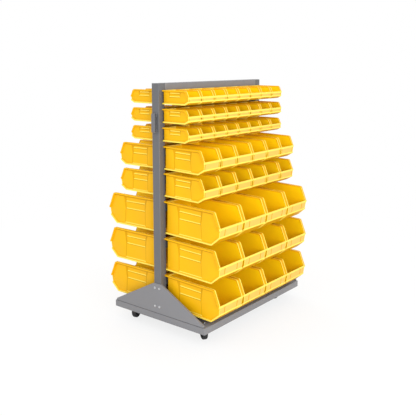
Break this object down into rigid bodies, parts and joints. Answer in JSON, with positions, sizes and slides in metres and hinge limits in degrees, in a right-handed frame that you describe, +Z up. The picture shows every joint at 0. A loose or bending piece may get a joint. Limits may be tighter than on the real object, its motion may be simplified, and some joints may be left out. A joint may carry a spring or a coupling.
{
  "type": "mobile bin cart",
  "caption": "Double-sided rack on swivel casters whose rails carry rows of hang-on storage bins, small ones above and large ones below.",
  "frame": {"origin": "on the floor, under the middle of the rack", "axes": "+X along the rack towards its right end, -Y towards the front bins, +Z up"},
  "size_m": [0.946, 0.7904, 1.3189],
  "materials": {
    "grey_paint": "satin powder coat",
    "handle_paint": "satin powder coat",
    "yellow_plastic": "semi-gloss moulded polypropylene",
    "zinc": "bright zinc plate",
    "black_tread": "matte"
  },
  "bodies": {
    "frame": {"base_tray": "grey_paint", "header": "grey_paint", "left_post": "grey_paint", "left_end_plate": "grey_paint", "left_handle": "handle_paint", "left_stud_plate": "zinc", "right_post": "grey_paint", "right_end_plate": "grey_paint", "right_handle": "handle_paint", "right_stud_plate": "zinc", "cross_rail_1": "grey_paint", "cross_rail_2": "grey_paint", "cross_rail_3": "grey_paint", "cross_rail_4": "grey_paint", "cross_rail_5": "grey_paint", "cross_rail_6": "grey_paint", "cross_rail_7": "grey_paint", "cross_rail_8": "grey_paint", "front_row_1_bins": "yellow_plastic", "front_row_2_bins": "yellow_plastic", "front_row_3_bins": "yellow_plastic", "front_row_4_bins": "yellow_plastic", "front_row_5_bins": "yellow_plastic", "front_row_6_bins": "yellow_plastic", "front_row_7_bins": "yellow_plastic", "front_row_8_bins": "yellow_plastic", "back_row_1_bins": "yellow_plastic", "back_row_2_bins": "yellow_plastic", "back_row_3_bins": "yellow_plastic", "back_row_4_bins": "yellow_plastic", "back_row_5_bins": "yellow_plastic", "back_row_6_bins": "yellow_plastic", "back_row_7_bins": "yellow_plastic", "back_row_8_bins": "yellow_plastic", "front_left_caster_top_plate": "zinc", "front_left_caster_kingpin": "zinc", "front_right_caster_top_plate": "zinc", "front_right_caster_kingpin": "zinc", "back_left_caster_top_plate": "zinc", "back_left_caster_kingpin": "zinc", "back_right_caster_top_plate": "zinc", "back_right_caster_kingpin": "zinc"},
    "front_loose_small_bin": {"front_loose_small_bin": "yellow_plastic"},
    "front_loose_medium_bin": {"front_loose_medium_bin": "yellow_plastic"},
    "front_loose_large_bin": {"front_loose_large_bin": "yellow_plastic"},
    "back_loose_small_bin": {"back_loose_small_bin": "yellow_plastic"},
    "back_loose_medium_bin": {"back_loose_medium_bin": "yellow_plastic"},
    "back_loose_large_bin": {"back_loose_large_bin": "yellow_plastic"},
    "front_left_fork": {"front_left_caster_fork": "zinc", "front_left_caster_axle": "zinc"},
    "front_left_wheel": {"front_left_caster_wheel": "black_tread"},
    "front_right_fork": {"front_right_caster_fork": "zinc", "front_right_caster_axle": "zinc"},
    "front_right_wheel": {"front_right_caster_wheel": "black_tread"},
    "back_left_fork": {"back_left_caster_fork": "zinc", "back_left_caster_axle": "zinc"},
    "back_left_wheel": {"back_left_caster_wheel": "black_tread"},
    "back_right_fork": {"back_right_caster_fork": "zinc", "back_right_caster_axle": "zinc"},
    "back_right_wheel": {"back_right_caster_wheel": "black_tread"}
  },
  "joints": [
    {"name": "front_small_bin_lift", "type": "slide", "parent": "frame", "child": "front_loose_small_bin", "axis": [0, 0, 1], "range_m": [0, 0.012]},
    {"name": "front_medium_bin_lift", "type": "slide", "parent": "frame", "child": "front_loose_medium_bin", "axis": [0, 0, 1], "range_m": [0, 0.012]},
    {"name": "front_large_bin_lift", "type": "slide", "parent": "frame", "child": "front_loose_large_bin", "axis": [0, 0, 1], "range_m": [0, 0.012]},
    {"name": "back_small_bin_lift", "type": "slide", "parent": "frame", "child": "back_loose_small_bin", "axis": [0, 0, 1], "range_m": [0, 0.012]},
    {"name": "back_medium_bin_lift", "type": "slide", "parent": "frame", "child": "back_loose_medium_bin", "axis": [0, 0, 1], "range_m": [0, 0.012]},
    {"name": "back_large_bin_lift", "type": "slide", "parent": "frame", "child": "back_loose_large_bin", "axis": [0, 0, 1], "range_m": [0, 0.012]},
    {"name": "front_left_swivel", "type": "hinge", "parent": "frame", "child": "front_left_fork", "pos_m": [-0.364, -0.2325, 0.0855], "axis": [0, 0, 1], "continuous": true},
    {"name": "front_left_roll", "type": "hinge", "parent": "front_left_fork", "child": "front_left_wheel", "pos_m": [-0.37966, -0.25571, 0.038], "axis": [0.829, -0.5592, 0], "continuous": true},
    {"name": "front_right_swivel", "type": "hinge", "parent": "frame", "child": "front_right_fork", "pos_m": [0.364, -0.2325, 0.0855], "axis": [0, 0, 1], "continuous": true},
    {"name": "front_right_roll", "type": "hinge", "parent": "front_right_fork", "child": "front_right_wheel", "pos_m": [0.336, -0.2325, 0.038], "axis": [0, -1, 0], "continuous": true},
    {"name": "back_left_swivel", "type": "hinge", "parent": "frame", "child": "back_left_fork", "pos_m": [-0.364, 0.2325, 0.0855], "axis": [0, 0, 1], "continuous": true},
    {"name": "back_left_roll", "type": "hinge", "parent": "back_left_fork", "child": "back_left_wheel", "pos_m": [-0.39063, 0.22385, 0.038], "axis": [0.309, -0.9511, 0], "continuous": true},
    {"name": "back_right_swivel", "type": "hinge", "parent": "frame", "child": "back_right_fork", "pos_m": [0.364, 0.2325, 0.0855], "axis": [0, 0, 1], "continuous": true},
    {"name": "back_right_roll", "type": "hinge", "parent": "back_right_fork", "child": "back_right_wheel", "pos_m": [0.33643, 0.23736, 0.038], "axis": [-0.1736, -0.9848, 0], "continuous": true}
  ]
}
